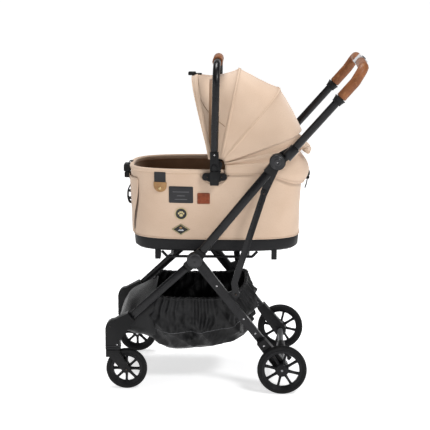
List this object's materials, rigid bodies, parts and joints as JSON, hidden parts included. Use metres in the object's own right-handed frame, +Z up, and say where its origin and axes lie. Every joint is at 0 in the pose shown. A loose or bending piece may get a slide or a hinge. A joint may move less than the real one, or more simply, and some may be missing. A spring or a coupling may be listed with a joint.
{
  "type": "pet stroller",
  "caption": "Folding pet stroller with a lift-off fabric carrier, folding canopy, swing-down carry handle, swivel front casters, storage basket and foot brake.",
  "frame": {"origin": "On the floor, under the middle of the object's bounding box.", "axes": "+X is the stroller's left side, -Y is the front (the swivel casters), +Y is the rear (the push handle), +Z is up."},
  "size_m": [0.496, 0.8005, 1.018],
  "materials": {
    "frame_black": "satin powder coat",
    "plastic_black": "moulded, fine grain",
    "steel": "bare",
    "wheel_black": "moulded, satin",
    "tyre_black": "matte",
    "leather": "stitched, satin",
    "beige_fabric": "plain weave",
    "tray_grey": "moulded, fine grain",
    "basket_cloth": "plain weave",
    "cushion_brown": "suede-like",
    "release_grey": "satin"
  },
  "bodies": {
    "main_frame": {"push_tube_left": "frame_black", "push_tube_right": "frame_black", "front_leg_left": "frame_black", "front_leg_right": "frame_black", "hub_housing_left": "plastic_black", "hub_housing_right": "plastic_black", "fold_housing_left": "plastic_black", "fold_housing_right": "plastic_black", "caster_housing_left": "plastic_black", "caster_housing_right": "plastic_black", "front_cross_tube": "frame_black", "carrier_cradle": "frame_black", "storage_basket": "basket_cloth"},
    "caster_left": {"caster_fork_left": "plastic_black", "front_axle_left": "steel"},
    "caster_right": {"caster_fork_right": "plastic_black", "front_axle_right": "steel"},
    "front_wheel_left": {"front_rim_left": "wheel_black", "front_tyre_left": "tyre_black"},
    "front_wheel_right": {"front_rim_right": "wheel_black", "front_tyre_right": "tyre_black"},
    "rear_legs": {"rear_leg_left": "frame_black", "rear_leg_right": "frame_black", "rear_foot_left": "plastic_black", "rear_foot_right": "plastic_black", "rear_axle": "frame_black"},
    "rear_wheel_left": {"rear_rim_left": "wheel_black", "rear_tyre_left": "tyre_black"},
    "rear_wheel_right": {"rear_rim_right": "wheel_black", "rear_tyre_right": "tyre_black"},
    "brake": {"brake_pedal": "release_grey"},
    "fold_links": {"fold_link_left": "frame_black", "fold_link_right": "frame_black"},
    "push_handle": {"handle_tube": "frame_black", "handle_arm_left": "plastic_black", "handle_arm_right": "plastic_black", "handle_collar_left": "plastic_black", "handle_collar_right": "plastic_black", "handle_grip_left": "leather", "handle_grip_right": "leather", "fold_release_housing": "release_grey"},
    "fold_button": {"fold_release_button": "plastic_black"},
    "carrier": {"base_tray": "tray_grey", "carrier_shell": "beige_fabric", "carrier_rim": "beige_fabric", "cushion": "cushion_brown", "bail_mount_left": "plastic_black", "bail_mount_right": "plastic_black"},
    "carry_handle": {"bail_tube": "frame_black", "bail_grip": "leather", "bail_knuckle_left": "plastic_black", "bail_knuckle_right": "plastic_black"},
    "bail_button_left": {"bail_button_left": "plastic_black"},
    "bail_button_right": {"bail_button_right": "plastic_black"},
    "canopy_rear_bow": {"canopy_bow_rear": "steel", "canopy_rear": "beige_fabric"},
    "canopy_middle_bow": {"canopy_bow_middle": "steel", "canopy_middle": "beige_fabric"},
    "canopy_front_bow": {"canopy_bow_front": "steel", "canopy_front": "beige_fabric"}
  },
  "joints": [
    {"name": "caster_swivel_left", "type": "hinge", "parent": "main_frame", "child": "caster_left", "pos_m": [0.195, -0.377, 0.15], "axis": [0, 0, 1], "continuous": true},
    {"name": "front_wheel_spin_left", "type": "hinge", "parent": "caster_left", "child": "front_wheel_left", "pos_m": [0.195, -0.336, 0.0635], "axis": [1, 0, 0], "continuous": true},
    {"name": "caster_swivel_right", "type": "hinge", "parent": "main_frame", "child": "caster_right", "pos_m": [-0.195, -0.377, 0.15], "axis": [0, 0, 1], "continuous": true},
    {"name": "front_wheel_spin_right", "type": "hinge", "parent": "caster_right", "child": "front_wheel_right", "pos_m": [-0.195, -0.336, 0.0635], "axis": [1, 0, 0], "continuous": true},
    {"name": "handle_fold", "type": "hinge", "parent": "main_frame", "child": "push_handle", "pos_m": [0, 0.125, 0.717], "axis": [1, 0, 0], "range_deg": [0, 115]},
    {"name": "rear_leg_fold", "type": "hinge", "parent": "main_frame", "child": "rear_legs", "pos_m": [0, -0.123, 0.413], "axis": [1, 0, 0], "range_deg": [0, 59.41]},
    {"name": "fold_link_turn", "type": "hinge", "parent": "rear_legs", "child": "fold_links", "pos_m": [0, 0.002, 0.304], "axis": [1, 0, 0], "range_deg": [-81.93, 0]},
    {"name": "rear_wheel_spin_left", "type": "hinge", "parent": "rear_legs", "child": "rear_wheel_left", "pos_m": [0.235, 0.144, 0.076], "axis": [1, 0, 0], "continuous": true},
    {"name": "rear_wheel_spin_right", "type": "hinge", "parent": "rear_legs", "child": "rear_wheel_right", "pos_m": [-0.235, 0.144, 0.076], "axis": [1, 0, 0], "continuous": true},
    {"name": "brake_press", "type": "hinge", "parent": "rear_legs", "child": "brake", "pos_m": [0, 0.144, 0.076], "axis": [1, 0, 0], "range_deg": [-20, 0]},
    {"name": "fold_button_press", "type": "slide", "parent": "push_handle", "child": "fold_button", "axis": [0, -0.673, -0.7396], "range_m": [0, 0.0018], "stiffness_N_per_m": 400},
    {"name": "carrier_lift", "type": "slide", "parent": "main_frame", "child": "carrier", "axis": [0, 0, -1], "range_m": [-0.25, 0]},
    {"name": "carry_handle_swing", "type": "hinge", "parent": "carrier", "child": "carry_handle", "pos_m": [0, -0.065, 0.693], "axis": [1, 0, 0], "range_deg": [0, 88]},
    {"name": "bail_button_left_press", "type": "slide", "parent": "carry_handle", "child": "bail_button_left", "axis": [-1, 0, 0], "range_m": [0, 0.0025], "stiffness_N_per_m": 300},
    {"name": "bail_button_right_press", "type": "slide", "parent": "carry_handle", "child": "bail_button_right", "axis": [1, 0, 0], "range_m": [0, 0.0025], "stiffness_N_per_m": 300},
    {"name": "canopy_fold", "type": "hinge", "parent": "carrier", "child": "canopy_rear_bow", "pos_m": [0, -0.049, 0.701], "axis": [-1, 0, 0], "range_deg": [0, 25], "deforming": ["canopy_rear"]},
    {"name": "canopy_middle_fold", "type": "hinge", "parent": "canopy_rear_bow", "child": "canopy_middle_bow", "pos_m": [0, -0.049, 0.701], "axis": [-1, 0, 0], "range_deg": [0, 22], "deforming": ["canopy_middle"]},
    {"name": "canopy_front_fold", "type": "hinge", "parent": "canopy_middle_bow", "child": "canopy_front_bow", "pos_m": [0, -0.049, 0.701], "axis": [-1, 0, 0], "range_deg": [0, 22.6], "deforming": ["canopy_front"]}
  ],
  "couplings": [
    {"joint": "rear_leg_fold", "follows": "handle_fold", "ratio": 0.514},
    {"joint": "fold_link_turn", "follows": "handle_fold", "ratio": -0.7098},
    {"joint": "canopy_middle_fold", "follows": "canopy_fold", "ratio": 0.872},
    {"joint": "canopy_front_fold", "follows": "canopy_fold", "ratio": 0.896}
  ]
}
